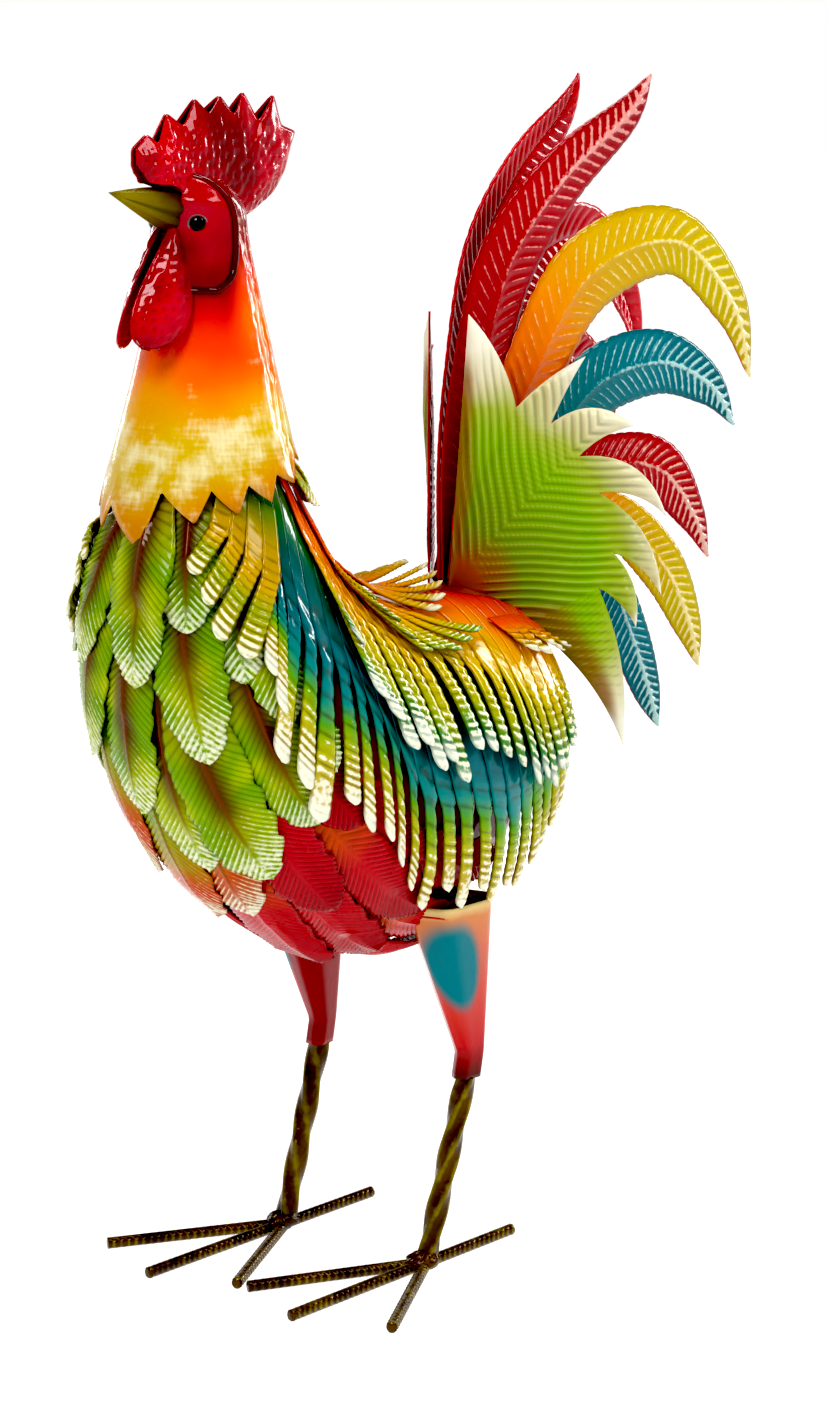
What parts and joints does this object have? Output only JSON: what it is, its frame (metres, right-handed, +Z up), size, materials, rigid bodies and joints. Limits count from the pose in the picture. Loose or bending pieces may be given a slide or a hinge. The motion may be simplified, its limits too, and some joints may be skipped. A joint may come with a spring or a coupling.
{
  "type": "metal rooster statue",
  "caption": "Standing rooster statue of layered, embossed and enamelled sheet-metal feathers, with a fanned tail and welded rod feet.",
  "frame": {"origin": "on the ground plane, below the centre of the statue's bounding box", "axes": "+Z up, the bird faces -Y, +X is its left side"},
  "size_m": [0.1856, 0.4274, 0.5575],
  "materials": {
    "beak_enamel": "glossy olive-yellow enamel, brown at the root",
    "hull_enamel": "glossy red enamel",
    "face_enamel": "glossy dark red enamel over hammered sheet",
    "neck_enamel": "glossy enamel, crimson at the top through orange to yellow and cream at the hem",
    "eye_enamel": "glossy black enamel",
    "breast_enamel": "glossy lime green enamel with brown shading and cream tips",
    "belly_enamel": "glossy crimson enamel",
    "mantle_enamel": "glossy enamel, teal through yellow to cream at the fingers' tips",
    "wing_enamel": "glossy enamel, orange-red to yellow, teal at the longest tips",
    "hackle_enamel": "glossy amber enamel with cream bands",
    "fan_enamel": "glossy lime green enamel with cream tips and a brown root",
    "red_plume_enamel": "glossy red enamel",
    "amber_plume_enamel": "glossy enamel, brown-red at the root to yellow with cream ribs",
    "teal_plume_enamel": "glossy teal enamel, green at the root",
    "thigh_enamel": "glossy salmon enamel with a cream rim and a teal patch",
    "leg_bronze": "satin olive-gold enamel"
  },
  "bodies": {
    "root": {"beak": "beak_enamel", "belly_feathers_1": "belly_enamel", "belly_feathers_2": "belly_enamel", "body": "hull_enamel", "breast_feathers_1": "breast_enamel", "breast_feathers_2": "breast_enamel", "breast_feathers_3": "breast_enamel", "breast_feathers_4": "breast_enamel", "breast_feathers_5": "breast_enamel", "comb_left": "face_enamel", "comb_right": "face_enamel", "eye_left": "eye_enamel", "eye_right": "eye_enamel", "hackle_left": "hackle_enamel", "hackle_right": "hackle_enamel", "head": "face_enamel", "mantle_left": "mantle_enamel", "mantle_right": "mantle_enamel", "nape": "hackle_enamel", "neck": "neck_enamel", "plume_arched_left": "amber_plume_enamel", "plume_arched_right": "amber_plume_enamel", "plume_sickle_left": "red_plume_enamel", "plume_sickle_right": "red_plume_enamel", "plume_small_amber_left": "amber_plume_enamel", "plume_small_amber_right": "amber_plume_enamel", "plume_small_red_left": "red_plume_enamel", "plume_small_red_right": "red_plume_enamel", "plume_small_teal_left": "teal_plume_enamel", "plume_small_teal_right": "teal_plume_enamel", "plume_teal_left": "teal_plume_enamel", "plume_teal_right": "teal_plume_enamel", "rump_left": "wing_enamel", "rump_right": "wing_enamel", "saddle_left": "wing_enamel", "saddle_right": "wing_enamel", "shank_left": "leg_bronze", "shank_right": "leg_bronze", "shoulder_left": "wing_enamel", "shoulder_right": "wing_enamel", "tail_fan_left": "fan_enamel", "tail_fan_right": "fan_enamel", "thigh_left": "thigh_enamel", "thigh_right": "thigh_enamel", "toe_bar_left": "leg_bronze", "toe_bar_right": "leg_bronze", "toe_inner_left": "leg_bronze", "toe_inner_right": "leg_bronze", "toe_outer_left": "leg_bronze", "toe_outer_right": "leg_bronze", "wattle_left": "face_enamel", "wattle_right": "face_enamel", "wing_left": "wing_enamel", "wing_right": "wing_enamel"}
  },
  "joints": []
}
